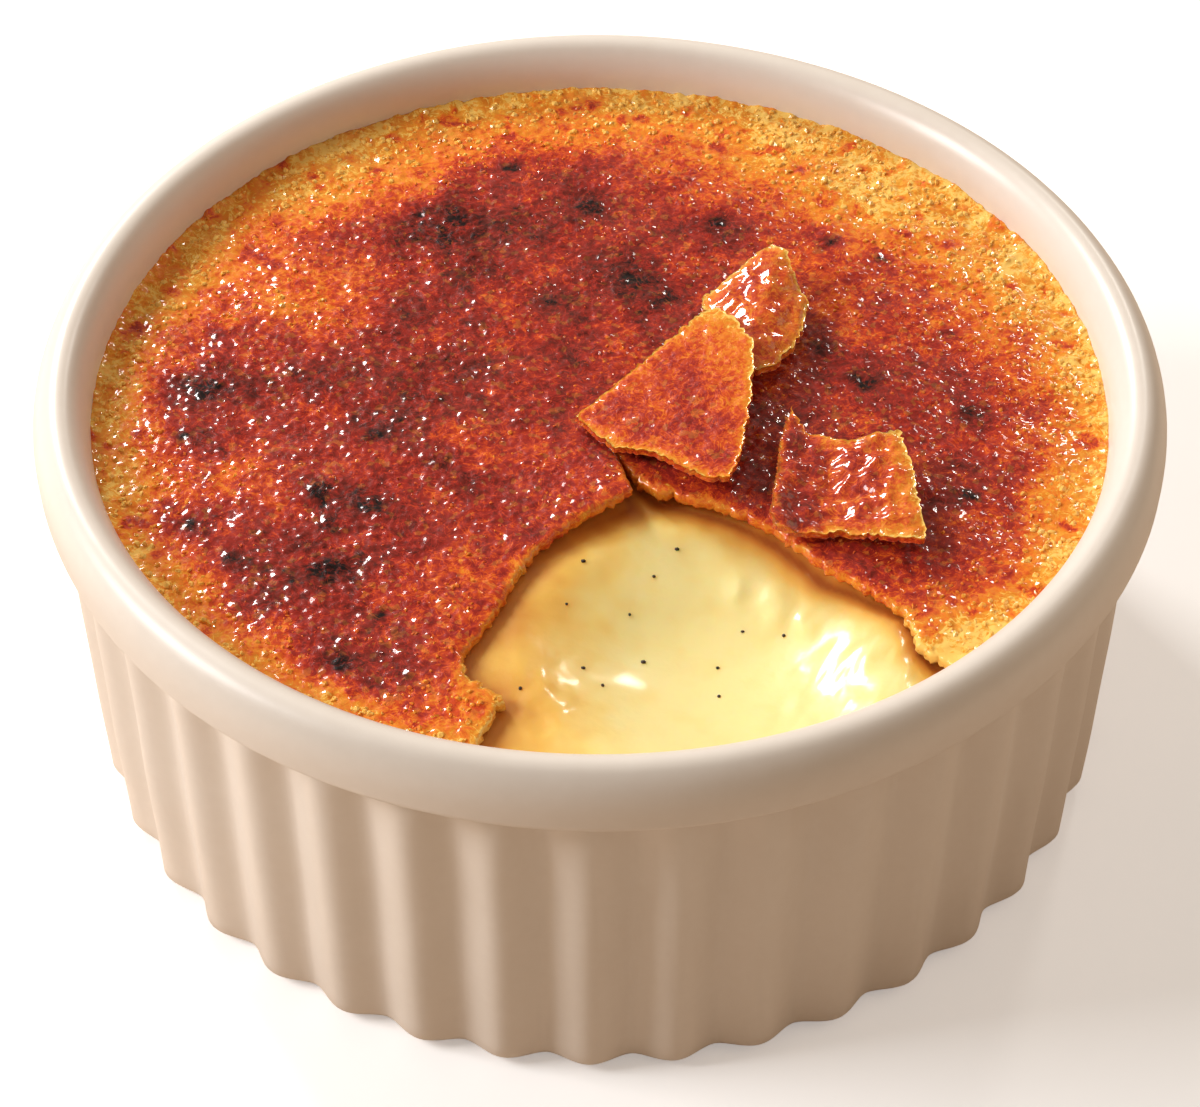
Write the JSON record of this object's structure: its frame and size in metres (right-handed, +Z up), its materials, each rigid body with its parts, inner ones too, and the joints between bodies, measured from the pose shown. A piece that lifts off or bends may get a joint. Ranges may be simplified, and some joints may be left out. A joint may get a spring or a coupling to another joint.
{
  "type": "creme brulee in a ramekin",
  "caption": "Baked custard in a fluted round ramekin under a sheet of burnt sugar, cracked open at the front, with broken shards of the sugar on top.",
  "frame": {"origin": "centre of the ramekin's foot, on the surface it stands on", "axes": "+Z up out of the dish; -Y towards the side where the sugar is cracked open and a spoonful is gone; +X to the right of someone facing that side"},
  "size_m": [0.1, 0.1, 0.0404],
  "materials": {
    "glaze": "gloss",
    "custard": "moist",
    "burnt_sugar": "glassy"
  },
  "bodies": {
    "root": {"ramekin": "glaze", "custard": "custard", "caramel_crust": "burnt_sugar", "shard_front": "burnt_sugar", "shard_back": "burnt_sugar", "shard_right": "burnt_sugar"}
  },
  "joints": []
}
